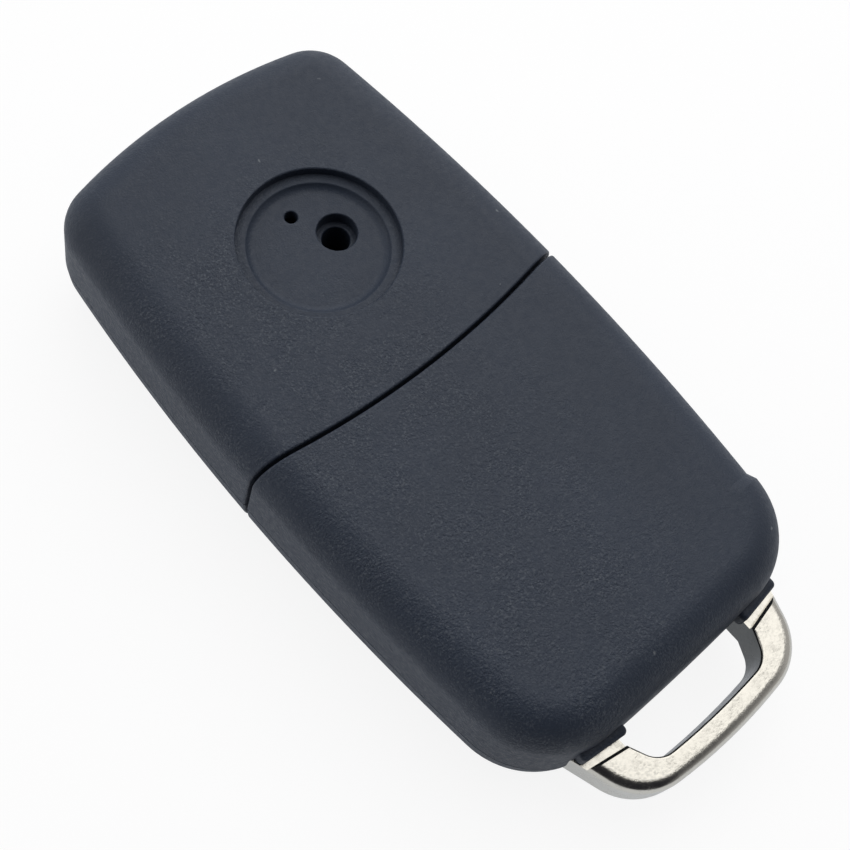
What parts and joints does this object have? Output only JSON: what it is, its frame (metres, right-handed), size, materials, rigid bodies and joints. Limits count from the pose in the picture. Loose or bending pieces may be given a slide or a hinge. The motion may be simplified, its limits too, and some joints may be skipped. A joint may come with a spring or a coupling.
{
  "type": "flip key remote shell",
  "caption": "Folding car key shell: rounded dark plastic body with an empty badge recess, lift-off battery cover, flip-out blade, push buttons and a bright key ring loop.",
  "frame": {"origin": "centre of the footprint on the flat front face, which lies on the ground", "axes": "+Z out of the back of the key, +Y towards the head end with the hub, +X towards the side with the folded blade"},
  "size_m": [0.035, 0.0717, 0.0137],
  "materials": {
    "housing": "fine matte moulded texture",
    "inner_tray": "plain moulded",
    "keys": "soft matte",
    "silicone": "matte",
    "nickel_loop": "satin top face, polished sides",
    "bright_trim": "polished",
    "button_metal": "polished",
    "cast_hub": "die-cast satin",
    "blade_steel": "satin",
    "pin_steel": "satin",
    "spring_steel": "satin",
    "screw_steel": "satin"
  },
  "bodies": {
    "body": {"head_back_shell": "housing", "head_front_shell": "housing", "remote_front_shell": "housing", "remote_chassis": "inner_tray", "keypad_frame": "bright_trim", "keypad_mat": "silicone", "key_ring_loop": "nickel_loop", "chassis_screws": "screw_steel", "flip_spring": "spring_steel"},
    "blade": {"blade_hub": "cast_hub", "key_blade": "blade_steel", "blade_roll_pin": "pin_steel"},
    "release": {"release_button": "button_metal"},
    "lock_key": {"lock_button": "keys"},
    "boot_key": {"boot_button": "keys"},
    "unlock_key": {"unlock_button": "keys"},
    "cover": {"battery_cover": "housing"}
  },
  "joints": [
    {"name": "blade_flip", "type": "hinge", "parent": "body", "child": "blade", "pos_m": [0.0065, 0.0258, 0.0065], "axis": [0, 0, 1], "range_deg": [0, 180]},
    {"name": "release_press", "type": "slide", "parent": "blade", "child": "release", "axis": [0, 0, 1], "range_m": [0, 0.0015], "stiffness_N_per_m": 800, "springref_m": -0.002, "deforming": ["flip_spring"]},
    {"name": "lock_press", "type": "slide", "parent": "body", "child": "lock_key", "axis": [0, 0, 1], "range_m": [0, 0.0006], "stiffness_N_per_m": 2000, "springref_m": -0.0002},
    {"name": "boot_press", "type": "slide", "parent": "body", "child": "boot_key", "axis": [0, 0, 1], "range_m": [0, 0.0006], "stiffness_N_per_m": 2000, "springref_m": -0.0002},
    {"name": "unlock_press", "type": "slide", "parent": "body", "child": "unlock_key", "axis": [0, 0, 1], "range_m": [0, 0.0006], "stiffness_N_per_m": 2000, "springref_m": -0.0002},
    {"name": "cover_lift", "type": "slide", "parent": "body", "child": "cover", "axis": [0, 0, 1], "range_m": [0, 0.01]}
  ]
}
